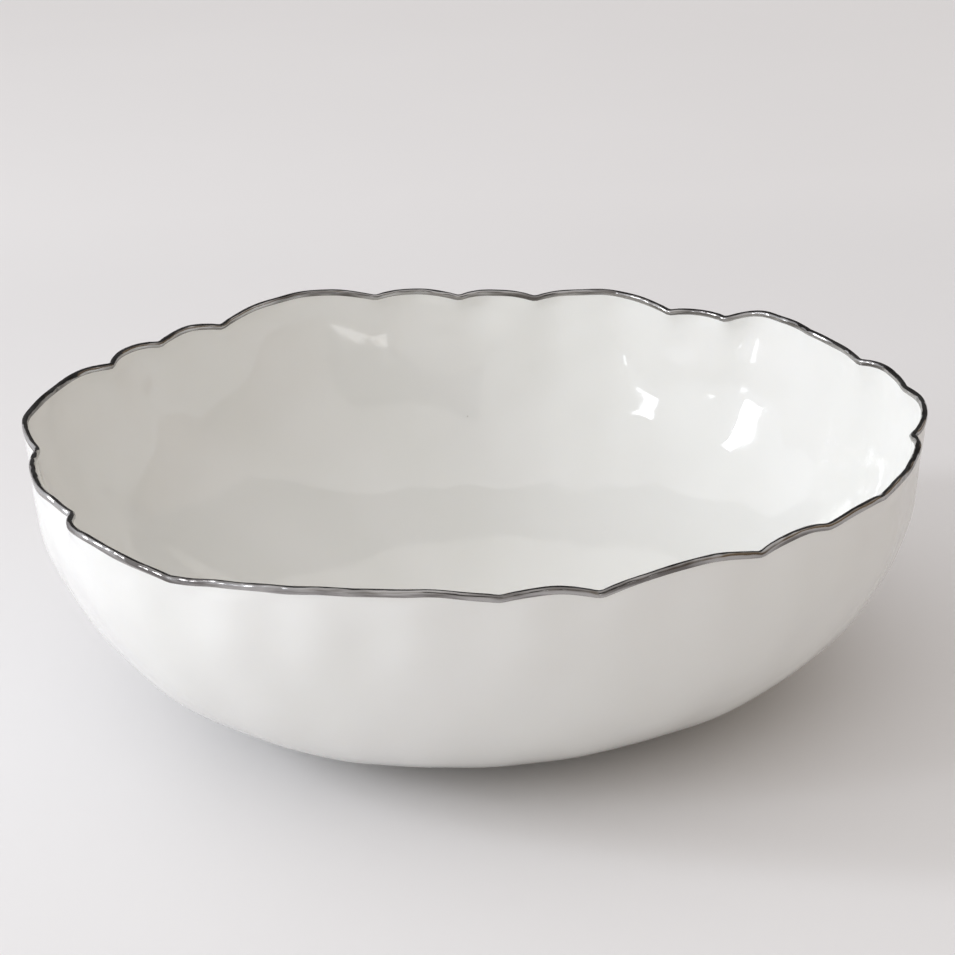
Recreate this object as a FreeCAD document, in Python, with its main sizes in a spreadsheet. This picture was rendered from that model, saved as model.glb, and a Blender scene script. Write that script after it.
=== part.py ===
import FreeCAD, Part
import math
import os
import Sketcher
from FreeCAD import Vector

# Large porcelain serving bowl with a scalloped, lustre-edged rim.
# +Z is up, the origin is the middle of the foot where it meets the table. Millimetres.

doc = FreeCAD.newDocument("ServingBowl")
sheet = doc.addObject("Spreadsheet::Sheet", "Sizes")

# alias: (value, what it is)
sizes = {
    "rimDiameter": (352.0, "mean diameter, measured at the middle of the lip"),
    "bowlDepth": (106.0, "height of the wall's middle line, from centre to mean lip"),
    "roundness": (3.7, "power of the wall's curve: 2 is an ellipse, more is boxier"),
    "baseDiameter": (160.0, "diameter of the flat underside that stands on the foot"),
    "baseThickness": (6.0, "porcelain above the foot, without glaze"),
    "wallThickness": (4.0, "porcelain half way up the wall, without glaze"),
    "lipThickness": (1.3, "porcelain at the rounded lip, without glaze"),
    "glazeThickness": (0.4, "coat of glaze"),
    "bandThickness": (0.25, "metal edge over the glaze"),
    "bandOutside": (1.3, "how far the metal edge comes down the outside"),
    "bandInside": (1.3, "how far it goes down the inside"),
    "scallopDepth": (1.0, "scale of the lobes and notches round the rim"),
    "scallopReach": (400.0, "depth at which a once-round wave has faded to a third"),
    "notchRound": (1.2, "how far along the rim the point of a notch is softened"),
    "rimWaver": (0.12, "small waver of the rim between the notches"),
    "pressDepth": (0.4, "hand-pressed unevenness of the wall"),
    "fluteDepth": (0.42, "fine upright flutes under the rim, apart from the lobes' own"),
    "centreDisc": (8.0, "radius of the flat spot in the middle of the floor"),
    "footHeight": (2.5, "height of the foot"),
    "footInset": (0.5, "how far inside the flat underside's edge the foot starts"),
    "footWidth": (6.5, "width of the foot"),
    "footRound": (0.9, "rounding of the foot's two lower edges"),
    "recessGap": (0.2, "bare line between the foot and the glaze inside it"),
}
for row, (alias, (value, note)) in enumerate(sizes.items(), start=1):
    sheet.set("A%d" % row, alias)
    sheet.set("B%d" % row, str(value))
    sheet.set("C%d" % row, note)
    sheet.setAlias("B%d" % row, alias)
doc.recompute()


def size(alias):
    return float(getattr(sheet, alias))


# ---------------------------------------------------------------- rim outline
# Each lobe runs from a notch to its crest and on to the next notch.
# Notch: angle (degrees from +X), out, up; crest: angle, out, up, in millimetres
# from the mean circle. Notches are pinched, crests are full.
lobes = [
    (-175, -1.3, -0.8, -163, 0.8, 0.8),
    (-151, -4.0, -1.6, -146, 2.0, -1.0),
    (-128.5, -1.0, -6.0, -97, -1.5, 1.0),
    (-87.5, -1.5, -2.0, -82.5, -1.0, 0.2),
    (-76, -1.5, -4.0, -64, -1.0, 1.5),
    (-55, -1.0, -3.0, -50, 0.0, 0.5),
    (-44, 0.8, -2.0, -38, 1.8, -1.5),
    (-32, 2.8, -3.0, -16, 4.2, -1.5),
    (-12, 1.2, -1.8, -3, 7.2, 0.5),
    (5, 4.6, -0.5, 11, 4.5, 0.5),
    (17, -1.5, -0.5, 25, -0.5, 0.5),
    (30, -1.5, 1.5, 39, 1.0, 2.0),
    (46, -6.5, -2.0, 50, -5.0, -2.0),
    (56, -8.0, -3.5, 68, -3.0, 1.0),
    (79, -5.0, -3.0, 86, -3.0, -0.5),
    (91, -4.0, -2.5, 99, 0.0, 1.0),
    (104, -1.0, 0.0, 116, 3.0, 5.5),
    (130, -1.0, 0.0, 136, 1.0, 3.0),
    (142, -1.0, 1.5, 147, 3.0, 3.0),
    (153, -1.0, 2.0, 162, 5.5, 3.5),
    (168, 5.6, 4.0, 175, 7.0, 3.2),
]
around = 600        # points round the rim, one every 0.6 degrees
waves = 200         # whole waves kept: anything finer than about 5.5 mm is left out


def swell(part, degrees):
    """0 at a notch, 1 at the crest: a quarter of a sine, steepened towards the
    notch, whose start is softened over a set length of rim"""
    length = math.radians(degrees) * size("rimDiameter") / 2
    pinch = math.pi / 2 * size("notchRound") / length
    return ((math.hypot(math.sin(math.pi * part / 2), pinch) - pinch) / (
        math.hypot(1, pinch) - pinch)) ** 0.8


def waver(angle):
    """small hand-made waver of the rim, out and up, at an angle in degrees"""
    turn = math.radians(angle)
    out = 0.9 * math.sin(29 * turn + 0.5) + 0.8 * math.sin(43 * turn + 2.0)
    up = 0.9 * math.sin(31 * turn + 3.6) + 0.8 * math.sin(53 * turn + 1.1)
    return size("rimWaver") * out, size("rimWaver") * up


def rimLine(angle):
    """out and up of the lip at an angle in degrees"""
    for index, (start, out0, up0, crest, out1, up1) in enumerate(lobes):
        nextLobe = lobes[(index + 1) % len(lobes)]
        end = nextLobe[0] + (360 if index == len(lobes) - 1 else 0)
        turn = (angle - start) % 360
        if turn < crest - start:
            full = swell(turn / (crest - start), crest - start)
            return out0 + (out1 - out0) * full, up0 + (up1 - up0) * full
        if turn < end - start:
            fall = 1 - swell(1 - (turn - (crest - start)) / (end - crest), end - crest)
            return out1 + (nextLobe[1] - out1) * fall, up1 + (nextLobe[2] - up1) * fall
    return 0.0, 0.0


cosines = [math.cos(2 * math.pi * i / around) for i in range(around)]
sines = [math.sin(2 * math.pi * i / around) for i in range(around)]


def harmonics(values):
    """cosine and sine amounts of each whole wave round the rim"""
    amounts = []
    for k in range(waves + 1):
        a = sum(v * cosines[(k * i) % around] for i, v in enumerate(values))
        b = sum(v * sines[(k * i) % around] for i, v in enumerate(values))
        share = (1.0 if k == 0 else 2.0) / around
        amounts.append((a * share, b * share))
    return amounts


def fade(amounts, depth, reach):
    """the wave at a depth below the lip, its slope round the rim and its slope
    up the wall: fine waves die away soonest, the k-th by exp(-k depth / reach)"""
    kept = [(k, a * math.exp(-k * depth / reach), b * math.exp(-k * depth / reach))
            for k, (a, b) in enumerate(amounts)]
    rows = []
    for i in range(around):
        value = slope = climb = 0.0
        for k, a, b in kept:
            c = cosines[(k * i) % around]
            s = sines[(k * i) % around]
            wave = a * c + b * s
            value += wave
            slope += k * (b * c - a * s)
            climb += k / reach * wave
        rows.append((value, slope, climb))
    return rows


# ---------------------------------------------------------------- wall
radius = size("rimDiameter") / 2
depthOfBowl = size("bowlDepth")
power = size("roundness")
scale = size("scallopDepth")
reach = size("scallopReach")
baseRadius = size("baseDiameter") / 2
footHeight = size("footHeight")
glaze = size("glazeThickness")
band = size("bandThickness")


def wallAt(level):
    """radius, height above the centre and upward direction of the wall's middle
    line, where level is 1 at the centre of the floor and 0 at the lip:
    height = depth (1 - level), radius = rim (1 - level^2)^(1/power)"""
    r = radius * max(1 - level * level, 0.0) ** (1 / power)
    runOut = 2 * radius * level
    runUp = depthOfBowl * power * (r / radius) ** (power - 1)
    length = math.hypot(runOut, runUp)
    return r, depthOfBowl * (1 - level), runOut / length, runUp / length


def levelOf(r):
    return math.sqrt(1 - (r / radius) ** power)


def smooth(x):
    """0 to 1 with no slope and no bend at either end"""
    x = min(max(x, 0.0), 1.0)
    return x ** 3 * (10 - 15 * x + 6 * x * x)


# rows of points, from the lip down: levels near the lip, radii further in
insideEdge = size("bandInside") / depthOfBowl
outsideEdge = size("bandOutside") / depthOfBowl
upperLevels = [0.0] + sorted({insideEdge, outsideEdge})
upperLevels += [0.04, 0.065, 0.095, 0.13, 0.17, 0.215, 0.265]
upperLevels += [0.32 + 0.06 * i for i in range(7)]
lowerRadii = [baseRadius + (0.80 * radius - baseRadius) * share
              for share in (1.0, 0.87, 0.74, 0.61, 0.48, 0.35, 0.22, 0.10, 0.0)]
floorRadii = [baseRadius * share for share in (0.88, 0.70, 0.53, 0.35, 0.22)]
outerLevels = upperLevels + [levelOf(r) for r in lowerRadii]
innerLevels = outerLevels + [levelOf(r) for r in floorRadii]
innerLevels.append(levelOf(size("centreDisc")))

lipDepths = {}
walked = 0.0
steps = 2000
before = wallAt(0.0)
for step in range(1, steps + 1):
    here = wallAt(step / steps)
    walked += math.hypot(here[0] - before[0], here[1] - before[1])
    lipDepths[step] = walked
    before = here
lipDepths[0] = 0.0


def depthOf(level):
    """length of wall between the lip and a level"""
    place = level * steps
    low = min(int(place), steps - 1)
    return lipDepths[low] + (lipDepths[low + 1] - lipDepths[low]) * (place - low)


def halfThickness(level, r):
    """half the porcelain's thickness: lip, wall and base run into each other"""
    lip = size("lipThickness") / 2
    wall = size("wallThickness") / 2
    base = size("baseThickness") / 2
    upper = lip + (wall - lip) * smooth(depthOf(level) / 30)
    return upper + (base - upper) * smooth((0.95 * radius - r) / (0.95 * radius - baseRadius))


baseLevel = levelOf(baseRadius)
baseLine = wallAt(baseLevel)
baseHalf = halfThickness(baseLevel, baseRadius)
# height of the wall's middle line at the centre: the underside meets the foot
floorLine = footHeight + baseHalf * baseLine[2] - baseLine[1]

angles = [i * 360.0 / around for i in range(around)]
rim = [rimLine(a) for a in angles]
outAmounts = harmonics([scale * p[0] + waver(a)[0] for p, a in zip(rim, angles)])
upAmounts = harmonics([scale * p[1] + waver(a)[1] for p, a in zip(rim, angles)])


def pressed(angle, height, depth):
    """hand-pressed unevenness: broad slanting waves round the wall, finer dimples
    between them, and fine upright flutes that fade below the rim"""
    broad = (0.9 * math.sin(7 * angle + height / 19 + 1.3)
             + 0.7 * math.sin(11 * angle - height / 14 - 0.4)
             + 0.8 * math.sin(4 * angle + height / 27 + 2.1))
    dimples = (0.5 * math.sin(17 * angle + height / 9 + 1.5 * math.sin(5 * angle))
               * math.sin(height / 11 + 2 * math.sin(3 * angle) + 0.7)
               + 0.3 * math.sin(23 * angle - height / 8 + 2 * math.sin(4 * angle + 1)))
    flutes = math.sin(33 * angle + 1.2 * math.sin(2 * angle) + 0.4) + 0.6 * math.sin(
        21 * angle + 1.7 * math.sin(3 * angle + 2))
    return (size("pressDepth") * (broad + dimples) * smooth(depth / 25)
            + size("fluteDepth") * flutes * math.exp(-depth / 42) * smooth(depth / 7))


def wallRow(level):
    """points of the middle surface round one level, with the directions across
    the wall and up out of it"""
    r, height, goOut, goUp = wallAt(level)
    kept = smooth((r - baseRadius) / (0.92 * radius - baseRadius))      # the base stays flat
    depth = depthOf(level)
    outs = fade(outAmounts, depth, reach)
    ups = fade(upAmounts, depth, reach)
    row = []
    for i in range(around):
        angle = 2 * math.pi * i / around
        out, outSlope, outClimb = (kept * v for v in outs[i])
        up, upSlope, upClimb = (kept * v for v in ups[i])
        along = Vector(cosines[i], sines[i], 0)
        aside = Vector(-sines[i], cosines[i], 0)
        forward = aside * (r + out) + along * outSlope + Vector(0, 0, upSlope)
        climb = along * (goOut + outClimb) + Vector(0, 0, goUp + upClimb)
        across = forward.cross(climb).normalize()
        beyond = across.cross(forward).normalize()
        point = along * (r + out) + Vector(0, 0, floorLine + height + up)
        point += across * (kept * pressed(angle, height, depth))
        row.append((point, across, beyond * (1 if beyond.dot(climb) > 0 else -1)))
    return row


rowsByLevel = {level: wallRow(level) for level in innerLevels}
lipHalf = size("lipThickness") / 2
lipTurns = [math.radians(a) for a in (30, 60, 90, 120, 150)]


def skinRows(coat):
    """rows of a whole skin standing a coat off the porcelain: up the inside from
    the centre, round over the lip and down the outside to the base"""
    rows = []
    for level in reversed(innerLevels):
        gap = halfThickness(level, wallAt(level)[0]) + coat
        rows.append([p - n * gap for p, n, e in rowsByLevel[level]])
    for turn in lipTurns:
        gap = lipHalf + coat
        rows.append([p - n * (gap * math.cos(turn)) + e * (gap * math.sin(turn))
                     for p, n, e in rowsByLevel[0.0]])
    for level in outerLevels:
        gap = halfThickness(level, wallAt(level)[0]) + coat
        rows.append([p + n * gap for p, n, e in rowsByLevel[level]])
    return rows


# one parameter up and over the wall for all the skins: length along a plain section
section = [row[0] for row in skinRows(0.0)]
heights = [0.0]
for a, b in zip(section, section[1:]):
    heights.append(heights[-1] + (b - a).Length)
turns = angles + [360.0]

insideRows = len(innerLevels)
lipRow = insideRows + len(lipTurns) // 2          # top of the lip
# rows where the metal edge ends
bandStart = insideRows - 1 - upperLevels.index(insideEdge)
bandEnd = insideRows + len(lipTurns) + upperLevels.index(outsideEdge)


def makeSkin(coat):
    """smooth closed surface through the rows: round each row first, then across"""
    poles = []
    knots = None
    for row in skinRows(coat):
        curve = Part.BSplineCurve()
        curve.interpolate(Points=row, PeriodicFlag=True, Parameters=turns)
        poles.append(curve.getPoles())
        knots = (curve.getKnots(), curve.getMultiplicities())
    columns = []
    acrossKnots = None
    for index in range(len(poles[0])):
        curve = Part.BSplineCurve()
        curve.interpolate(Points=[row[index] for row in poles], Parameters=heights)
        columns.append(curve.getPoles())
        acrossKnots = (curve.getKnots(), curve.getMultiplicities())
    skin = Part.BSplineSurface()
    skin.buildFromPolesMultsKnots(columns, knots[1], acrossKnots[1], knots[0],
                                  acrossKnots[0], True, False, 3, 3)
    return skin


porcelainSkin = makeSkin(0.0)
glazeSkin = makeSkin(glaze)
bandSkin = makeSkin(glaze + band)


lastRow = len(heights) - 1
# rows where a skin is divided into separate faces
seams = [0, 6, 12, 18, 24, bandStart, lipRow, bandEnd, bandEnd + 6, bandEnd + 12,
         bandEnd + 18, lastRow]


sectors = 12        # faces round the bowl
wedges = [(360.0 * i / sectors, 360.0 * (i + 1) / sectors) for i in range(sectors)]


def strips(skin, first, last):
    """the part of a skin between two rows, as a grid of faces"""
    inner = [row for row in seams if first < row < last]
    faces = []
    for low, high in zip([first] + inner, inner + [last]):
        for start, end in wedges:
            piece = skin.copy()
            piece.segment(start, end, heights[low], heights[high])
            faces.append(piece.toShape())
    return faces


def ring(skin, row):
    """the closed line round a skin at one row, as one edge for each wedge"""
    edges = []
    for start, end in wedges:
        line = skin.vIso(heights[row])
        line.segment(start, end)
        edges.append(line.toShape())
    return edges


def disc(skin, row):
    return [Part.Face(Part.Wire(ring(skin, row)))]


def coatBetween(inner, outer, first, last):
    """faces of a coat between two skins, open at both ends"""
    return strips(inner, first, last) + strips(outer, first, last)


def edgeBetween(inner, outer, row):
    """faces across the thickness of a coat at one row"""
    return [Part.makeRuledSurface(a, b) for a, b in zip(ring(inner, row), ring(outer, row))]


def solidOf(faces):
    shell = Part.Compound(faces)
    shell.sewShape()
    solid = Part.Solid(shell.Shells[0])
    if solid.Volume < 0:
        solid.reverse()
    return solid


def place(name, shape):
    piece = doc.addObject("Part::Feature", name)
    piece.Label = name
    piece.Shape = shape
    piece.Placement = FreeCAD.Placement()
    return piece


body = place("porcelain_body", solidOf(
    strips(porcelainSkin, 0, lastRow)
    + disc(porcelainSkin, 0) + disc(porcelainSkin, lastRow)))

insideGlaze = place("inside_glaze", solidOf(
    coatBetween(porcelainSkin, glazeSkin, 0, lipRow)
    + disc(porcelainSkin, 0) + disc(glazeSkin, 0)
    + edgeBetween(porcelainSkin, glazeSkin, lipRow)))

outsideGlaze = place("outside_glaze", solidOf(
    coatBetween(porcelainSkin, glazeSkin, lipRow, lastRow)
    + edgeBetween(porcelainSkin, glazeSkin, lipRow)
    + edgeBetween(porcelainSkin, glazeSkin, lastRow)))

rimBand = place("rim_band", solidOf(
    coatBetween(glazeSkin, bandSkin, bandStart, bandEnd)
    + edgeBetween(glazeSkin, bandSkin, bandStart)
    + edgeBetween(glazeSkin, bandSkin, bandEnd)))


# ---------------------------------------------------------------- foot
def plane(owner, role):
    for item in owner.Origin.OriginFeatures:
        if item.Role == role:
            return item
    raise ValueError(role)


def bound(sketch, name, expression):
    """a sketch dimension takes its value from the sheet"""
    sketch.setExpression("Constraints." + name, expression)


# turned ring the bowl stands on, bare of glaze
foot = doc.addObject("PartDesign::Body", "FootRing")
foot.Label = "foot_ring"
outline = foot.newObject("Sketcher::SketchObject", "FootSection")
outline.AttachmentSupport = [(plane(foot, "XZ_Plane"), "")]
outline.MapMode = "FlatFace"
outerFoot = baseRadius - size("footInset")
innerFoot = outerFoot - size("footWidth")
corners = [(innerFoot, 0), (outerFoot, 0), (outerFoot, footHeight), (innerFoot, footHeight)]
for index, (x, y) in enumerate(corners):
    endX, endY = corners[(index + 1) % 4]
    outline.addGeometry(Part.LineSegment(Vector(x, y, 0), Vector(endX, endY, 0)), False)
rules = [Sketcher.Constraint("Coincident", i, 2, (i + 1) % 4, 1) for i in range(4)]
rules += [Sketcher.Constraint("Horizontal", i) for i in (0, 2)]
rules += [Sketcher.Constraint("Vertical", i) for i in (1, 3)]
rules.append(Sketcher.Constraint("PointOnObject", 0, 1, -1))
outline.addConstraint(rules)
for name, rule, expression in [
    ("outer", Sketcher.Constraint("DistanceX", -1, 1, 0, 2, outerFoot),
     "Sizes.baseDiameter / 2 - Sizes.footInset"),
    ("wide", Sketcher.Constraint("DistanceX", 0, 1, 0, 2, size("footWidth")), "Sizes.footWidth"),
    ("tall", Sketcher.Constraint("DistanceY", 1, 1, 1, 2, footHeight), "Sizes.footHeight"),
]:
    number = outline.addConstraint(rule)
    outline.renameConstraint(number, name)
    bound(outline, name, expression)
doc.recompute()
turned = foot.newObject("PartDesign::Revolution", "FootTurned")
turned.Profile = outline
turned.ReferenceAxis = (outline, ["V_Axis"])
turned.Angle = 360.0
doc.recompute()
lowEdges = ["Edge%d" % (i + 1) for i, edge in enumerate(turned.Shape.Edges)
            if edge.BoundBox.ZMax < 0.01 and edge.BoundBox.ZMin > -0.01]
rounded = foot.newObject("PartDesign::Fillet", "FootRounded")
rounded.Base = (turned, lowEdges)
rounded.Radius = size("footRound")
rounded.setExpression("Radius", "Sizes.footRound")
foot.Tip = rounded
doc.recompute()

# glaze on the flat underside, inside the foot
under = doc.addObject("PartDesign::Body", "UndersideGlaze")
under.Label = "underside_glaze"
circle = under.newObject("Sketcher::SketchObject", "UndersideCircle")
circle.AttachmentSupport = [(plane(under, "XY_Plane"), "")]
circle.MapMode = "FlatFace"
circle.AttachmentOffset = FreeCAD.Placement(Vector(0, 0, footHeight - glaze),
                                            FreeCAD.Rotation())
circle.setExpression("AttachmentOffset.Base.z", "Sizes.footHeight - Sizes.glazeThickness")
underRadius = innerFoot - size("recessGap")
circle.addGeometry(Part.Circle(Vector(0, 0, 0), Vector(0, 0, 1), underRadius), False)
circle.addConstraint(Sketcher.Constraint("Coincident", 0, 3, -1, 1))
number = circle.addConstraint(Sketcher.Constraint("Radius", 0, underRadius))
circle.renameConstraint(number, "edge")
bound(circle, "edge",
      "Sizes.baseDiameter / 2 - Sizes.footInset - Sizes.footWidth - Sizes.recessGap")
coat = under.newObject("PartDesign::Pad", "UndersideCoat")
coat.Profile = circle
coat.Length = glaze
coat.setExpression("Length", "Sizes.glazeThickness")
under.Tip = coat
doc.recompute()


# ---------------------------------------------------------------- check and write
pieces = [body, insideGlaze, outsideGlaze, rimBand, foot, under]
for item in doc.Objects:
    if "Invalid" in item.State or "Error" in item.State:
        raise RuntimeError("%s failed: %s" % (item.Label, item.State))
os.makedirs("parts", exist_ok=True)
for piece in pieces:
    shape = piece.Shape
    if shape.isNull() or not shape.isValid() or len(shape.Solids) != 1:
        raise RuntimeError("%s has no sound solid" % piece.Label)
for piece in pieces:
    piece.Shape.exportStep("parts/%s.step" % piece.Label)
    box = piece.Shape.optimalBoundingBox()
    print("%-16s %9.0f mm3  %.1f x %.1f x %.1f  z %.2f to %.2f" % (
        piece.Label, piece.Shape.Volume, box.XLength, box.YLength, box.ZLength,
        box.ZMin, box.ZMax))
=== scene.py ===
import math
import bpy
import numpy as np
from mathutils import Matrix, Vector


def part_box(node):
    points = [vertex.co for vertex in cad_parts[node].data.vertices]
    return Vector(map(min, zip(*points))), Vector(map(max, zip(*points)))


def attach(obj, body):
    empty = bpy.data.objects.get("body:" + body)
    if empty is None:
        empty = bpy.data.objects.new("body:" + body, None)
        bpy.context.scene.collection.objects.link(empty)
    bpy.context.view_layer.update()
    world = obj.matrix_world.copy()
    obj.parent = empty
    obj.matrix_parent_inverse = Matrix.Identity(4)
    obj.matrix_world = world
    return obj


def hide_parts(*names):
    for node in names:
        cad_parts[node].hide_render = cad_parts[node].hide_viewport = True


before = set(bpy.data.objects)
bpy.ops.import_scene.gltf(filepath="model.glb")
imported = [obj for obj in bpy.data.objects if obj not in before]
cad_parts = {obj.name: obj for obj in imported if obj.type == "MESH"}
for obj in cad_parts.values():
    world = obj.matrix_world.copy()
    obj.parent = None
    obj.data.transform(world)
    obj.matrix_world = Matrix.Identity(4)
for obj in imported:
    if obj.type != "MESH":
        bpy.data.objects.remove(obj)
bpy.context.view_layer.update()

scene = bpy.context.scene
mm = 0.001

# Porcelain serving bowl. Everything below is worked out in millimetres and goes
# into the meshes in metres; z is 0 where the foot meets the table.

bowl = {
    "rimRadius": 176.0,       # middle of the lip, before the lobes
    "depth": 106.0,           # wall's middle line, lowest point to lip
    "roundness": 3.7,         # 2 is an ellipse, more is boxier
    "baseRadius": 80.0,       # flat underside
    "base": 6.0, "wall": 4.0, "lip": 1.3,     # porcelain's thickness
    "lipRun": 30.0,           # the wall thickens over this much below the lip
    "floorFrom": 0.95,        # and again towards the floor, from this share of the rim's radius
    "shapedFrom": 0.92,       # the base is flat, and the full shape starts at this share
    "straight": 0.8,          # share of the depth where wall rows give way to floor rows
    "reach": 400.0,           # how far down the lobes' flutes run
    "notchRound": 1.2,        # how far along the rim a notch's point is softened
    "waver": 0.12,            # small waver of the rim between the notches
    "press": 0.4,             # hand-pressed unevenness
    "flutes": 0.42,           # fine upright flutes under the rim
    "columns": 600,           # points round the bowl
    "waves": 200,             # finest wave of the rim, in whole waves round the bowl
}

# One lobe a line: notch angle, out, up, then crest angle, out, up.
lobes = np.array([
    (-175, -1.3, -0.8, -163, 0.8, 0.8),
    (-151, -4.0, -1.6, -146, 2.0, -1.0),
    (-128.5, -1.0, -6.0, -97, -1.5, 1.0),
    (-87.5, -1.5, -2.0, -82.5, -1.0, 0.2),
    (-76, -1.5, -4.0, -64, -1.0, 1.5),
    (-55, -1.0, -3.0, -50, 0.0, 0.5),
    (-44, 0.8, -2.0, -38, 1.8, -1.5),
    (-32, 2.8, -3.0, -16, 4.2, -1.5),
    (-12, 1.2, -1.8, -3, 7.2, 0.5),
    (5, 4.6, -0.5, 11, 4.5, 0.5),
    (17, -1.5, -0.5, 25, -0.5, 0.5),
    (30, -1.5, 1.5, 39, 1.0, 2.0),
    (46, -6.5, -2.0, 50, -5.0, -2.0),
    (56, -8.0, -3.5, 68, -3.0, 1.0),
    (79, -5.0, -3.0, 86, -3.0, -0.5),
    (91, -4.0, -2.5, 99, 0.0, 1.0),
    (104, -1.0, 0.0, 116, 3.0, 5.5),
    (130, -1.0, 0.0, 136, 1.0, 3.0),
    (142, -1.0, 1.5, 147, 3.0, 3.0),
    (153, -1.0, 2.0, 162, 5.5, 3.5),
    (168, 5.6, 4.0, 175, 7.0, 3.2),
])


def smooth(x):
    # 0 to 1 with no slope and no bend at either end
    x = np.clip(x, 0.0, 1.0)
    return x ** 3 * (10 - 15 * x + 6 * x * x)


def swell(part, degrees):
    # quarter of a sine, steepened towards the notch and softened at its very point
    pinch = np.pi / 2 * bowl["notchRound"] / (np.radians(degrees) * bowl["rimRadius"])
    share = (np.hypot(np.sin(np.pi * part / 2), pinch) - pinch) / (np.hypot(1, pinch) - pinch)
    return np.maximum(share, 0) ** 0.8


def rimLine(degrees):
    # out and up of the lip, lobe by lobe: swell from notch to crest, and back down
    notches = np.append(lobes[:, 0], lobes[0, 0] + 360)
    turned = (degrees - notches[0]) % 360 + notches[0]
    which = np.clip(np.searchsorted(notches, turned, side="right") - 1, 0, len(lobes) - 1)
    here = lobes[which]
    after = lobes[(which + 1) % len(lobes)]
    rising = turned < here[:, 3]
    up = (turned - here[:, 0]) / (here[:, 3] - here[:, 0])
    down = (notches[which + 1] - turned) / (notches[which + 1] - here[:, 3])
    width = np.where(rising, here[:, 3] - here[:, 0], notches[which + 1] - here[:, 3])
    share = swell(np.where(rising, up, down), width)[:, None]
    low = np.where(rising[:, None], here[:, 1:3], after[:, 1:3])
    turn = np.radians(degrees)
    out = 0.9 * np.sin(29 * turn + 0.5) + 0.8 * np.sin(43 * turn + 2.0)
    lift = 0.9 * np.sin(31 * turn + 3.6) + 0.8 * np.sin(53 * turn + 1.1)
    return low + (here[:, 4:6] - low) * share + bowl["waver"] * np.stack([out, lift], -1)


# the rim as whole waves round the bowl, so that fine ones can fade first
rimSamples = 600
sampled = rimLine(np.arange(rimSamples) * 360 / rimSamples)
spectrum = np.fft.rfft(sampled, axis=0) * 2 / rimSamples
spectrum[0] /= 2
spectrum = spectrum[:bowl["waves"] + 1]
waveNumbers = np.arange(len(spectrum))


def wallLine(level):
    # height = depth (1 - level), radius = rim (1 - level^2)^(1/roundness)
    rim, power = bowl["rimRadius"], bowl["roundness"]
    radius = rim * np.maximum(1 - level ** 2, 0) ** (1 / power)
    outward = 2 * rim * level
    upward = bowl["depth"] * power * (radius / rim) ** (power - 1)
    length = np.hypot(outward, upward)
    return radius, bowl["depth"] * (1 - level), outward / length, upward / length


def levelAt(radius):
    return np.sqrt(1 - (radius / bowl["rimRadius"]) ** bowl["roundness"])


fineLevels = np.linspace(0, 1, 2001)
fineRadius, fineHeight = wallLine(fineLevels)[:2]
fineDepth = np.append(0, np.cumsum(np.hypot(np.diff(fineRadius), np.diff(fineHeight))))


def depthAt(level):
    # length of wall between the lip and a level
    return np.interp(level, fineLevels, fineDepth)


def halfThickness(level):
    # half the porcelain: lip, wall and base run smoothly into each other
    radius = wallLine(level)[0]
    thickened = smooth(depthAt(level) / bowl["lipRun"])
    upper = bowl["lip"] / 2 + (bowl["wall"] - bowl["lip"]) / 2 * thickened
    start = bowl["floorFrom"] * bowl["rimRadius"]
    flattened = smooth((start - radius) / (start - bowl["baseRadius"]))
    return upper + (bowl["base"] / 2 - upper) * flattened


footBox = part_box("foot_ring")
footHeight = (footBox[1][2] - footBox[0][2]) / mm
baseLevel = levelAt(bowl["baseRadius"])
baseLine = wallLine(baseLevel)
floorLine = footHeight + halfThickness(baseLevel) * baseLine[2] - baseLine[1]


def pressed(angle, height, depth):
    # broad slanting waves, finer dimples between them, and upright flutes that fade
    broad = 0.9 * np.sin(7 * angle + height / 19 + 1.3) \
        + 0.7 * np.sin(11 * angle - height / 14 - 0.4) \
        + 0.8 * np.sin(4 * angle + height / 27 + 2.1)
    dimples = 0.5 * np.sin(17 * angle + height / 9 + 1.5 * np.sin(5 * angle)) \
        * np.sin(height / 11 + 2 * np.sin(3 * angle) + 0.7) \
        + 0.3 * np.sin(23 * angle - height / 8 + 2 * np.sin(4 * angle + 1))
    flutes = np.sin(33 * angle + 1.2 * np.sin(2 * angle) + 0.4) \
        + 0.6 * np.sin(21 * angle + 1.7 * np.sin(3 * angle + 2))
    return bowl["press"] * (broad + dimples) * smooth(depth / 25) \
        + bowl["flutes"] * flutes * np.exp(-depth / 42) * smooth(depth / 7)


def around(columns):
    return np.linspace(0, 2 * np.pi, columns, endpoint=False)


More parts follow.
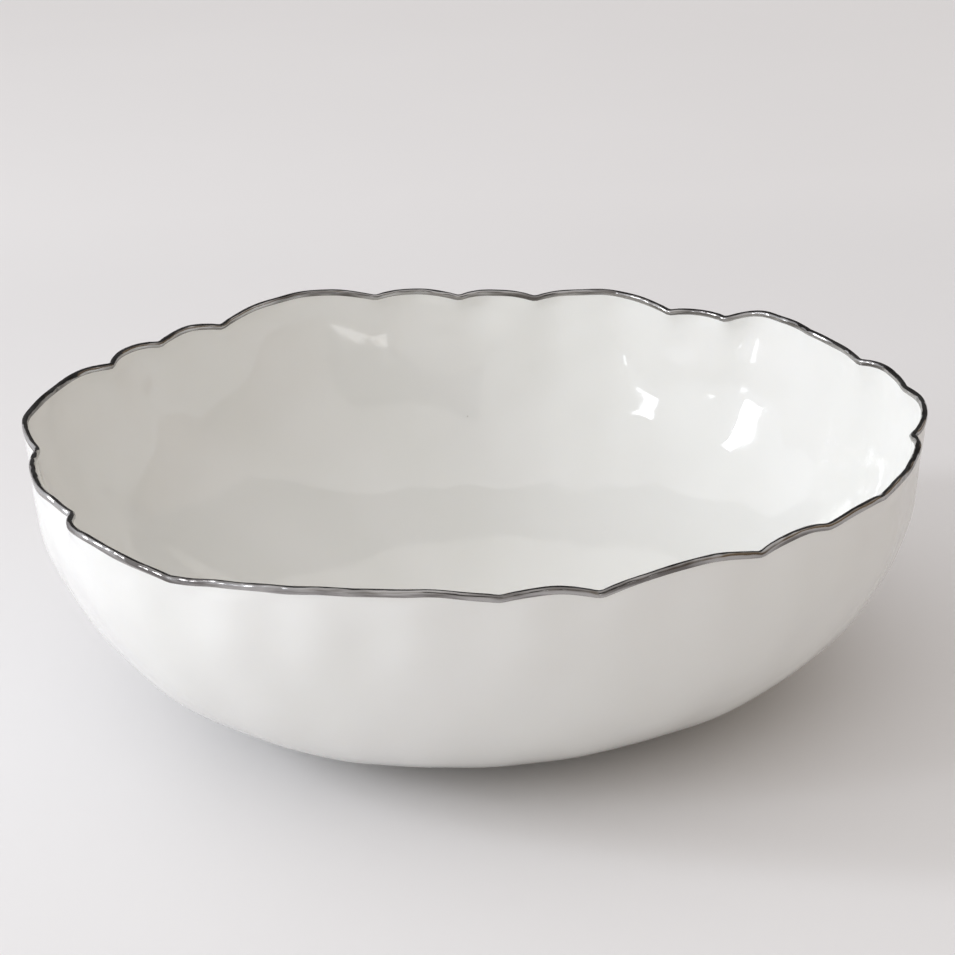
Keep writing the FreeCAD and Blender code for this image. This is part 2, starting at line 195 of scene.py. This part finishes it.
def wallGrid(levels):
    # middle surface of the wall: rows of points at each level, with the direction
    # across the wall (outwards) and the direction beyond its edge (up)
    angle = around(bowl["columns"])[None, :]
    level = np.asarray(levels, float)[:, None]
    radius, height, goOut, goUp = wallLine(level)
    depth = depthAt(level)
    flat = bowl["baseRadius"]
    kept = smooth((radius - flat) / (bowl["shapedFrom"] * bowl["rimRadius"] - flat))
    turn = np.exp(1j * waveNumbers[:, None] * angle)
    fading = np.exp(-waveNumbers * depth / bowl["reach"]) * kept
    value, slope, climb = [], [], []
    for part in (0, 1):
        amounts = fading * spectrum[:, part]
        value.append((amounts @ turn).real)
        slope.append((amounts * 1j * waveNumbers @ turn).real)
        climb.append((amounts * waveNumbers / bowl["reach"] @ turn).real)
    cosine, sine, nil = np.cos(angle), np.sin(angle), 0 * angle
    along = np.stack([cosine, sine, nil], -1)
    aside = np.stack([-sine, cosine, nil], -1)
    upright = np.array([0.0, 0.0, 1.0])
    forward = aside * (radius + value[0])[..., None] + along * slope[0][..., None] \
        + upright * slope[1][..., None]
    rise = along * (goOut + climb[0])[..., None] + upright * (goUp + climb[1])[..., None]
    across = np.cross(forward, rise)
    across /= np.linalg.norm(across, axis=-1, keepdims=True)
    beyond = np.cross(across, forward)
    beyond /= np.linalg.norm(beyond, axis=-1, keepdims=True)
    point = along * (radius + value[0])[..., None] \
        + upright * (floorLine + height + value[1])[..., None]
    point = point + across * (kept * pressed(angle, height, depth))[..., None]
    return point, across, beyond


def side(levels, coat, inside):
    # one face of the wall: middle surface plus or minus half the porcelain and a coat
    point, across = wallGrid(levels)[:2]
    gap = (halfThickness(np.asarray(levels, float)) + coat)[:, None, None]
    return point + across * (-gap if inside else gap)


def lipTurn(coat, start, end, count):
    # half-round lip: turned about the rim line from the inside (0) to the outside (180)
    point, across, beyond = wallGrid([0.0])
    turn = np.radians(np.linspace(start, end, count))[:, None, None]
    gap = bowl["lip"] / 2 + coat
    return point + gap * (np.sin(turn) * beyond - np.cos(turn) * across)


def rowLevels(wallRows, lowRows, innerRadius):
    # rows down the wall, closer together near the lip, then evenly across the floor
    part = np.linspace(0, 1, wallRows)
    upper = bowl["straight"] * (0.35 * part + 0.65 * part ** 2)
    lower = levelAt(np.linspace(wallLine(bowl["straight"])[0], innerRadius, lowRows))
    return np.append(upper, lower[1:])


def makePiece(name, rings, material, swap, startPole=False, endPole=False, loop=False,
              uv=False, attribute=None):
    # closed skin from rings of points: neighbours are joined by quads, a pole
    # closes an end with a fan, and loop joins the last ring to the first
    rings = np.asarray(rings) * mm
    rows, columns = rings.shape[:2]
    points = rings.reshape(-1, 3)
    index = np.arange(rows * columns).reshape(rows, columns)
    if loop:
        index = np.vstack([index, index[:1]])
    right = np.roll(index, -1, axis=1)
    quads = np.stack([index[:-1], right[:-1], right[1:], index[1:]], -1).reshape(-1, 4)
    faces = quads.tolist()
    for wanted, ring, forwards in ((startPole, index[0], False), (endPole, index[-1], True)):
        if wanted:
            points = np.vstack([points, points[ring].mean(axis=0)])
            pole = np.full(columns, len(points) - 1)
            fan = [ring, np.roll(ring, -1), pole] if forwards else [np.roll(ring, -1), ring, pole]
            faces += np.stack(fan, -1).tolist()
    mesh = bpy.data.meshes.new(name)
    mesh.from_pydata(points.tolist(), [], faces)
    mesh.polygons.foreach_set("use_smooth", np.ones(len(faces), bool))
    if uv:
        # u runs round the rim in metres, and v from 0 to 1 across the strip
        layer = mesh.uv_layers.new(name="strip")
        corners = np.empty(len(mesh.loops), int)
        mesh.loops.foreach_get("vertex_index", corners)
        owner = np.repeat(np.arange(len(faces)), 4)
        column = corners % columns
        wrapped = (column == 0) & (owner % columns == columns - 1)
        u = (column + columns * wrapped) / columns * 2 * np.pi * bowl["rimRadius"] * mm
        v = corners // columns / (rows - 1)
        layer.data.foreach_set("uv", np.stack([u, v], -1).ravel())
    if attribute is not None:
        layer = mesh.attributes.new(attribute[0], "FLOAT", "POINT")
        values = np.zeros(len(points))
        values[:rows * columns] = np.asarray(attribute[1]).ravel()
        layer.data.foreach_set("value", values)
    mesh.update()
    piece = bpy.data.objects.new(name, mesh)
    scene.collection.objects.link(piece)
    piece.data.materials.append(material)
    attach(piece, "root")
    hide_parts(swap)
    print("made", name, len(points), "points", len(faces), "faces")


def newMaterial(name):
    material = bpy.data.materials.new(name)
    material.use_nodes = True
    nodes = material.node_tree.nodes
    shader = nodes["Principled BSDF"]
    return material, material.node_tree, shader


def addNode(tree, kind, **values):
    node = tree.nodes.new(kind)
    for key, value in values.items():
        if key in node.inputs:
            node.inputs[key].default_value = value
        else:
            setattr(node, key, value)
    return node


def objectPattern(tree, kind, scale, **values):
    # a noise or cell pattern in the object's own space; scale is per metre
    place = addNode(tree, "ShaderNodeTexCoord")
    pattern = addNode(tree, kind, Scale=scale, **values)
    tree.links.new(place.outputs["Object"], pattern.inputs["Vector"])
    return pattern


def spread(tree, socket, low, high, newLow, newHigh):
    # stretches a value from one range to another
    node = addNode(tree, "ShaderNodeMapRange")
    for number, value in enumerate((low, high, newLow, newHigh), start=1):
        node.inputs[number].default_value = value
    tree.links.new(socket, node.inputs[0])
    return node.outputs[0]


def blendColour(tree, factor, first, second):
    node = addNode(tree, "ShaderNodeMix", data_type="RGBA")
    for number, colour in ((6, first), (7, second)):
        if isinstance(colour, tuple):
            node.inputs[number].default_value = (*colour, 1)
        else:
            tree.links.new(colour, node.inputs[number])
    tree.links.new(factor, node.inputs[0])
    return node.outputs[2]


def addBump(tree, height, distance, strength, below=None):
    node = addNode(tree, "ShaderNodeBump", Distance=distance, Strength=strength)
    tree.links.new(height, node.inputs["Height"])
    if below is not None:
        tree.links.new(below, node.inputs["Normal"])
    return node.outputs["Normal"]


glazeLook = {
    "clear": (0.86, 0.855, 0.835),      # thin glaze over white porcelain
    "pooled": (0.80, 0.80, 0.765),      # where it gathered thicker
    "speck": (0.42, 0.38, 0.33),
    "speckShare": 0.07,                 # of the cells that hold one
    "roughness": (0.035, 0.085),
    "swell": 0.0012, "peel": 0.00004,   # depth in metres
}


def makeGlaze():
    material, tree, shader = newMaterial("whiteGlaze")
    cloud = objectPattern(tree, "ShaderNodeTexNoise", 14.0, Detail=3.0, Roughness=0.45)
    pooled = addNode(tree, "ShaderNodeAttribute", attribute_name="pooled")
    mixed = addNode(tree, "ShaderNodeMath", operation="MULTIPLY_ADD")
    tree.links.new(cloud.outputs[0], mixed.inputs[0])
    mixed.inputs[1].default_value = 0.7
    tree.links.new(pooled.outputs["Fac"], mixed.inputs[2])
    amount = spread(tree, mixed.outputs[0], 0.2, 1.3, 0.0, 1.0)
    tone = blendColour(tree, amount, glazeLook["clear"], glazeLook["pooled"])
    # rare grey specks of iron in the porcelain, under a millimetre wide
    cells = objectPattern(tree, "ShaderNodeTexVoronoi", 42.0, Randomness=1.0)
    dot = spread(tree, cells.outputs["Distance"], 0.010, 0.018, 1.0, 0.0)
    chosen = addNode(tree, "ShaderNodeSeparateColor")
    tree.links.new(cells.outputs["Color"], chosen.inputs[0])
    rare = addNode(tree, "ShaderNodeMath", operation="GREATER_THAN")
    tree.links.new(chosen.outputs[0], rare.inputs[0])
    rare.inputs[1].default_value = 1 - glazeLook["speckShare"]
    speck = addNode(tree, "ShaderNodeMath", operation="MULTIPLY")
    tree.links.new(dot, speck.inputs[0])
    tree.links.new(rare.outputs[0], speck.inputs[1])
    tone = blendColour(tree, speck.outputs[0], tone, glazeLook["speck"])
    tree.links.new(tone, shader.inputs["Base Color"])
    sheen = objectPattern(tree, "ShaderNodeTexNoise", 60.0, Detail=2.0)
    low, high = glazeLook["roughness"]
    tree.links.new(spread(tree, sheen.outputs[0], 0.3, 0.7, low, high), shader.inputs["Roughness"])
    shader.inputs["IOR"].default_value = 1.5
    shader.inputs["Subsurface Weight"].default_value = 0.08
    shader.inputs["Subsurface Radius"].default_value = (1.0, 0.8, 0.6)
    shader.inputs["Subsurface Scale"].default_value = 0.002
    # slow swells where the glaze ran, and a finer skin like an orange's
    swells = objectPattern(tree, "ShaderNodeTexNoise", 32.0, Detail=1.0)
    peel = objectPattern(tree, "ShaderNodeTexNoise", 420.0, Detail=1.0)
    normal = addBump(tree, swells.outputs[0], glazeLook["swell"], 0.35)
    normal = addBump(tree, peel.outputs[0], glazeLook["peel"], 0.4, normal)
    tree.links.new(normal, shader.inputs["Normal"])
    return material


lustreLook = {
    "metal": (0.44, 0.43, 0.425),
    "worn": (0.13, 0.12, 0.115),         # thin lustre where the brush ran out, made near-black as a painted dark reflection
    "wornAndPaintedDarkShare": 0.9,
    "roughness": (0.07, 0.26),
    "streaks": (34.0, 3.2, 1.0),         # per metre along the rim, per width across it
    "streak": 0.0005, "patch": 0.0006, "roll": 0.004,       # depth in metres
}


def makeLustre():
    material, tree, shader = newMaterial("metalLustre")
    place = addNode(tree, "ShaderNodeUVMap", uv_map="strip")
    stretch = addNode(tree, "ShaderNodeMapping")
    stretch.inputs["Scale"].default_value = lustreLook["streaks"]
    tree.links.new(place.outputs["UV"], stretch.inputs["Vector"])
    streak = addNode(tree, "ShaderNodeTexNoise", Scale=1.0, Detail=3.0)
    tree.links.new(stretch.outputs["Vector"], streak.inputs["Vector"])
    patch = objectPattern(tree, "ShaderNodeTexNoise", 130.0, Detail=2.0)
    roll = objectPattern(tree, "ShaderNodeTexNoise", 75.0, Detail=1.0)    # the lip leans to and fro
    # painted dark streaks along the rim: partly thin brushwork, partly a painted reflection of the
    # dark room
    thin = spread(tree, streak.outputs[0], 0.44, 0.62, 0.0, lustreLook["wornAndPaintedDarkShare"])
    tree.links.new(blendColour(tree, thin, lustreLook["metal"], lustreLook["worn"]),
                   shader.inputs["Base Color"])
    shader.inputs["Metallic"].default_value = 1.0
    low, high = lustreLook["roughness"]
    tree.links.new(spread(tree, patch.outputs[0], 0.35, 0.7, low, high), shader.inputs["Roughness"])
    normal = addBump(tree, streak.outputs[0], lustreLook["streak"], 0.7)
    normal = addBump(tree, patch.outputs[0], lustreLook["patch"], 0.4, normal)
    normal = addBump(tree, roll.outputs[0], lustreLook["roll"], 0.8, normal)
    tree.links.new(normal, shader.inputs["Normal"])
    return material


biscuitLook = {
    "ground": (0.78, 0.755, 0.71),
    "grey": (0.56, 0.54, 0.51),
    "roughness": (0.5, 0.75),
    "turning": 0.00006, "grain": 0.00008,     # depth in metres
}


def makeBiscuit():
    material, tree, shader = newMaterial("barePorcelain")
    grain = objectPattern(tree, "ShaderNodeTexNoise", 900.0, Detail=3.0)
    scuff = objectPattern(tree, "ShaderNodeTexNoise", 70.0, Detail=4.0)
    worn = spread(tree, scuff.outputs[0], 0.5, 0.75, 0.0, 0.8)
    tree.links.new(blendColour(tree, worn, biscuitLook["ground"], biscuitLook["grey"]),
                   shader.inputs["Base Color"])
    low, high = biscuitLook["roughness"]
    tree.links.new(spread(tree, scuff.outputs[0], 0.3, 0.7, low, high), shader.inputs["Roughness"])
    # turning lines: rings about the upright axis
    place = addNode(tree, "ShaderNodeTexCoord")
    rings = addNode(tree, "ShaderNodeTexWave", wave_type="RINGS", rings_direction="Z",
                    Scale=260.0, Distortion=1.5)
    tree.links.new(place.outputs["Object"], rings.inputs["Vector"])
    normal = addBump(tree, rings.outputs["Fac"], biscuitLook["turning"], 0.5)
    normal = addBump(tree, grain.outputs[0], biscuitLook["grain"], 0.5, normal)
    tree.links.new(normal, shader.inputs["Normal"])
    return material


whiteGlaze = makeGlaze()
metalLustre = makeLustre()
barePorcelain = makeBiscuit()
print("materials made")

# glaze inside: pole in the middle of the floor, up the wall to the top of the lip
insideCoat = {
    "thickness": 0.4, "middle": 0.6,          # radius of the smallest ring of points
    "wallRows": 62, "floorRows": 34, "hiddenRows": 24, "hiddenFloorRows": 27,
}
shownLevels = rowLevels(insideCoat["wallRows"], insideCoat["floorRows"], insideCoat["middle"])[::-1]
hiddenLevels = rowLevels(insideCoat["hiddenRows"], insideCoat["hiddenFloorRows"],
                         insideCoat["middle"])


def pooling(levels):
    # glaze gathers in the hollows between lobes and runs together low on the wall
    angle = around(bowl["columns"])[None, :]
    level = np.asarray(levels)[:, None]
    hollow = 0.5 - 0.5 * np.sin(9 * angle + 2 * np.sin(3 * angle) + level * 5)
    return 0.35 * smooth((level - 0.1) / 0.8) + 0.25 * hollow * smooth(level / 0.2)


shown = side(shownLevels, insideCoat["thickness"], True)
overLip = lipTurn(insideCoat["thickness"], 0, 90, 7)[1:]
backOfLip = lipTurn(0.0, 90, 0, 3)
hidden = side(hiddenLevels, 0.0, True)[1:]
rings = np.concatenate([shown, overLip, backOfLip, hidden])
amount = np.zeros(rings.shape[:2])
amount[:len(shown)] = pooling(shownLevels)
makePiece("insideGlaze", rings, whiteGlaze, "inside_glaze",
          startPole=True, endPole=True, attribute=("pooled", amount))

# glaze outside: from the top of the lip down to the edge of the underside
outsideCoat = {
    "thickness": 0.4,
    "wallRows": 66, "lowRows": 16, "hiddenRows": 24, "hiddenLowRows": 12,
}
shownLevels = rowLevels(outsideCoat["wallRows"], outsideCoat["lowRows"], bowl["baseRadius"])
hiddenLevels = rowLevels(outsideCoat["hiddenRows"], outsideCoat["hiddenLowRows"],
                         bowl["baseRadius"])[::-1]
overLip = lipTurn(outsideCoat["thickness"], 90, 180, 7)[:-1]
shown = side(shownLevels, outsideCoat["thickness"], False)
hidden = side(hiddenLevels, 0.0, False)[:-1]
backOfLip = lipTurn(0.0, 180, 90, 3)
rings = np.concatenate([overLip, shown, hidden, backOfLip])
amount = np.zeros(rings.shape[:2])
amount[len(overLip):len(overLip) + len(shown)] = pooling(shownLevels)
makePiece("outsideGlaze", rings, whiteGlaze, "outside_glaze",
          loop=True, attribute=("pooled", amount))

# porcelain under the glaze
core = {
    "drawnIn": 0.02,          # mm behind the backs of its coats
    "middle": 1.0, "wallRows": 36, "floorRows": 28, "lowRows": 12,
}
insideLevels = rowLevels(core["wallRows"], core["floorRows"], core["middle"])[::-1]
outsideLevels = rowLevels(core["wallRows"], core["lowRows"], bowl["baseRadius"])
rings = np.concatenate([
    side(insideLevels, -core["drawnIn"], True),
    lipTurn(-core["drawnIn"], 0, 180, 9)[1:-1],
    side(outsideLevels, -core["drawnIn"], False)])
makePiece("porcelainBody", rings, barePorcelain, "porcelain_body",
          startPole=True, endPole=True)

# painted metal edge over the lip
edge = {
    "thickness": 0.25, "glaze": 0.4,          # the edge, and the coat it is painted on
    "outside": 1.3, "inside": 1.3,            # how far it comes down each side
    "waver": 0.25, "insideShare": 0.6,        # unevenness of its two lines, less inside
    "sunk": 0.08,                             # its back is this far into the glaze
    "insideRows": 5, "outsideRows": 7, "lipRows": 15,
}
angle = around(bowl["columns"])
brush = (np.sin(13 * angle + 1) + 0.7 * np.sin(29 * angle + 2.2) + 0.5 * np.sin(47 * angle)) / 2.2


def edgeRows(inside, count):
    # rows from the lip down to the brushed line, which wavers round the bowl
    middle = edge["inside" if inside else "outside"]
    reach = middle + edge["waver"] * brush * (edge["insideShare"] if inside else 1.0)
    lowest = max(edge["inside"], edge["outside"]) + 1.2 * edge["waver"]
    levels = np.linspace(0, lowest / bowl["depth"], 12)
    grid = side(levels, 0.0, inside)
    across = wallGrid(levels)[1]
    rows = np.linspace(0, 1, count)
    wanted = rows[:, None] * reach[None, :]      # mm below the lip
    place = wanted / bowl["depth"] / (levels[1] - levels[0])
    low = np.clip(place.astype(int), 0, len(levels) - 2)
    part = (place - low)[..., None]
    column = np.arange(bowl["columns"])[None, :]
    base = grid[low, column] * (1 - part) + grid[low + 1, column] * part
    outwards = across[low, column] * (-1 if inside else 1)
    return base, outwards, rows[:, None, None]


def edgeSkin(coat, rounded):
    # inside line, over the lip, outside line; a rounded coat thins to nothing at its lines
    inBase, inOut, inPart = edgeRows(True, edge["insideRows"])
    outBase, outOut, outPart = edgeRows(False, edge["outsideRows"])
    if rounded:
        inPart, outPart = (np.sqrt(np.clip(1 - part ** 4, 0, 1)) for part in (inPart, outPart))
    else:
        inPart = outPart = 1.0
    inner = (inBase + inOut * (edge["glaze"] + coat * inPart))[::-1]
    over = lipTurn(edge["glaze"] + coat, 0, 180, edge["lipRows"])[1:-1]
    outer = outBase + outOut * (edge["glaze"] + coat * outPart)
    return np.concatenate([inner, over, outer])


outerSkin = edgeSkin(edge["thickness"], True)
innerSkin = edgeSkin(-edge["sunk"], False)[::-2]
rings = np.concatenate([outerSkin, innerSkin])
makePiece("metalEdge", rings, metalLustre, "rim_band", loop=True, uv=True)

# foot ring, turned: a profile carried round the upright axis
foot = {"columns": 288, "width": 6.5, "rounding": 0.9, "cornerPoints": 6}
outer = footBox[1][0] / mm
inner = outer - foot["width"]


def lathe(profile, columns):
    # each profile point (radius, height) carried round the axis
    turn = around(columns)[None, :]
    radius, height = np.asarray(profile, float).T[..., None]
    return np.stack([radius * np.cos(turn), radius * np.sin(turn), height + 0 * turn], -1)


def corner(centreRadius, centreHeight, radius, start, end, count):
    turn = np.radians(np.linspace(start, end, count))
    return np.stack([centreRadius + radius * np.cos(turn),
                     centreHeight + radius * np.sin(turn)], -1)


def flatRun(start, end, height, count):
    return np.stack([np.linspace(start, end, count), np.full(count, height)], -1)


bend = foot["rounding"]
profile = np.concatenate([
    [(outer, footHeight)],
    corner(outer - bend, bend, bend, 0, -90, foot["cornerPoints"]),
    flatRun(outer - bend, inner + bend, 0.0, 6)[1:-1],
    corner(inner + bend, bend, bend, -90, -180, foot["cornerPoints"]),
    [(inner, footHeight)],
])
makePiece("footRing", lathe(profile, foot["columns"]), barePorcelain,
          "foot_ring", loop=True)

# glaze on the underside, with a rounded edge where it was wiped back
underCoat = {"thickness": 0.4, "columns": 288, "rounding": 0.3, "middle": 1.0}
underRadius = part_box("underside_glaze")[1][0] / mm
low = footHeight - underCoat["thickness"]
curve = underCoat["rounding"]
profile = np.concatenate([
    flatRun(underCoat["middle"], underRadius - curve, low, 16)[:-1],
    corner(underRadius - curve, low + curve, curve, -90, 0, 5),
    [(underRadius, footHeight)],
    flatRun(underRadius, underCoat["middle"], footHeight, 6)[1:],
])
makePiece("undersideGlaze", lathe(profile, underCoat["columns"])[::-1], whiteGlaze,
          "underside_glaze", startPole=True, endPole=True)

# table, light and camera
studio = {
    "table": (0.81, 0.80, 0.805), "tableSize": 14.0,
    # light of the room from each side, as radiance
    "left": (1.03, 1.05, 1.10),
    "right": (0.26, 0.19, 0.12),
    "front": (0.62, 0.59, 0.55),
    "ceiling": (0.95, 0.93, 0.92),
    "pane": (22.1, 23.0, 24.3),
    "sill": (4.6, 4.8, 5.1),
    "frontPane": (3.0, 3.0, 3.0),
    "cloth": (0.03, 0.03, 0.03), "weave": (0.09, 0.09, 0.09),
}


def makeTable():
    material, tree, shader = newMaterial("paleTable")
    cloud = objectPattern(tree, "ShaderNodeTexNoise", 3.0, Detail=4.0)
    base = studio["table"]
    tree.links.new(blendColour(tree, cloud.outputs[0], tuple(c * 0.98 for c in base),
                               tuple(min(c * 1.02, 1) for c in base)), shader.inputs["Base Color"])
    shader.inputs["Roughness"].default_value = 0.42
    shader.inputs["Specular IOR Level"].default_value = 0.05
    half = studio["tableSize"] / 2
    mesh = bpy.data.meshes.new("table")
    mesh.from_pydata([(-half, -half, 0), (half, -half, 0), (half, half, 0), (-half, half, 0)],
                     [], [(0, 1, 2, 3)])
    mesh.materials.append(material)
    table = bpy.data.objects.new("table", mesh)
    scene.collection.objects.link(table)


makeTable()

world = scene.world or bpy.data.worlds.new("studio")
scene.world = world
world.use_nodes = True
tree = world.node_tree
backdrop = tree.nodes["Background"]
facing = addNode(tree, "ShaderNodeTexCoord")
split = addNode(tree, "ShaderNodeSeparateXYZ")
tree.links.new(facing.outputs["Generated"], split.inputs[0])
fromLeft = spread(tree, split.outputs[0], -0.9, 0.9, 0.0, 1.0)
fromFront = spread(tree, split.outputs[1], -0.35, -0.95, 0.0, 1.0)
overhead = spread(tree, split.outputs[2], 0.4, 0.95, 0.0, 1.0)
roomLight = blendColour(tree, fromLeft, studio["left"], studio["right"])
roomLight = blendColour(tree, fromFront, roomLight, studio["front"])
tree.links.new(blendColour(tree, overhead, roomLight, studio["ceiling"]), backdrop.inputs[0])

rimCentre = Vector((0, 0, (floorLine + bowl["depth"]) * mm))


def direction(azimuth, elevation):
    # azimuth 0 is the front (-Y), positive to the right
    a, e = math.radians(azimuth), math.radians(elevation)
    return Vector((math.sin(a) * math.cos(e), -math.cos(a) * math.cos(e), math.sin(e)))


def areaLight(name, azimuth, elevation, distance, width, height, radiance):
    lamp = bpy.data.lights.new(name, "AREA")
    lamp.shape = "RECTANGLE"
    lamp.size, lamp.size_y = width, height
    lamp.energy = width * height * math.pi
    lamp.color = radiance
    light = bpy.data.objects.new(name, lamp)
    away = direction(azimuth, elevation)
    light.location = rimCentre + away * distance
    light.rotation_euler = away.to_track_quat("Z", "Y").to_euler()
    light.visible_camera = False
    scene.collection.objects.link(light)


# two windows on the left, the sills lit below them, and a fainter window in front
windows = {
    # azimuth, elevation, then distance, width and height in metres, and radiance
    "windowNear": (-64, 23, 2.0, 0.10, 0.60, studio["pane"]),
    "windowFar": (-91, 21.5, 2.0, 0.24, 0.72, studio["pane"]),
    "sillNear": (-58, 6, 2.0, 0.10, 0.24, studio["sill"]),
    "sillFar": (-83, 6, 2.0, 0.20, 0.20, studio["sill"]),
    "windowFront": (25, 14, 2.2, 0.22, 0.5, studio["frontPane"]),
}
for name, window in windows.items():
    areaLight(name, *window)

# dark cloths behind and in front, seen only in reflections: the metal's dark lines
material, tree, shader = newMaterial("darkCloth")
weave = objectPattern(tree, "ShaderNodeTexNoise", 9.0, Detail=2.0)
tree.links.new(blendColour(tree, weave.outputs[0], studio["cloth"], studio["weave"]),
               shader.inputs["Base Color"])
shader.inputs["Roughness"].default_value = 0.9
for name, left, right, bends in (
        ("clothBehind", -0.7, 1.1, ((0.75, 0.05), (0.75, 0.8), (0.2, 1.3))),
        ("clothInFront", -0.3, 1.0, ((-1.35, 0.45), (-1.35, 1.3)))):
    points = [(x, y, z) for y, z in bends for x in (left, right)]
    mesh = bpy.data.meshes.new(name)
    mesh.from_pydata(points, [], [(i, i + 1, i + 3, i + 2) for i in range(0, len(points) - 2, 2)])
    mesh.materials.append(material)
    cloth = bpy.data.objects.new(name, mesh)
    scene.collection.objects.link(cloth)
    for ray in ("camera", "diffuse", "shadow", "transmission", "volume_scatter"):
        setattr(cloth, "visible_" + ray, False)

view = {"distance": 0.979, "elevation": 20.18, "lens": 90.66, "roll": -2.30,
        "right": 0.12, "down": 1.434}
camera = bpy.data.cameras.new("camera")
camera.lens = view["lens"]
camera.sensor_width = 36.0
camera.clip_start, camera.clip_end = 0.01, 50.0
viewer = bpy.data.objects.new("camera", camera)
towards = direction(0, view["elevation"])
aim = Matrix.Rotation(math.radians(-view["right"]), 3, "Z") \
    @ Matrix.Rotation(math.radians(90 - view["elevation"] - view["down"]), 3, "X") \
    @ Matrix.Rotation(math.radians(view["roll"]), 3, "Z")
viewer.matrix_world = Matrix.Translation(rimCentre + towards * view["distance"]) @ aim.to_4x4()
scene.collection.objects.link(viewer)
scene.camera = viewer
scene.view_settings.view_transform = "Standard"
print("table, light and camera set")
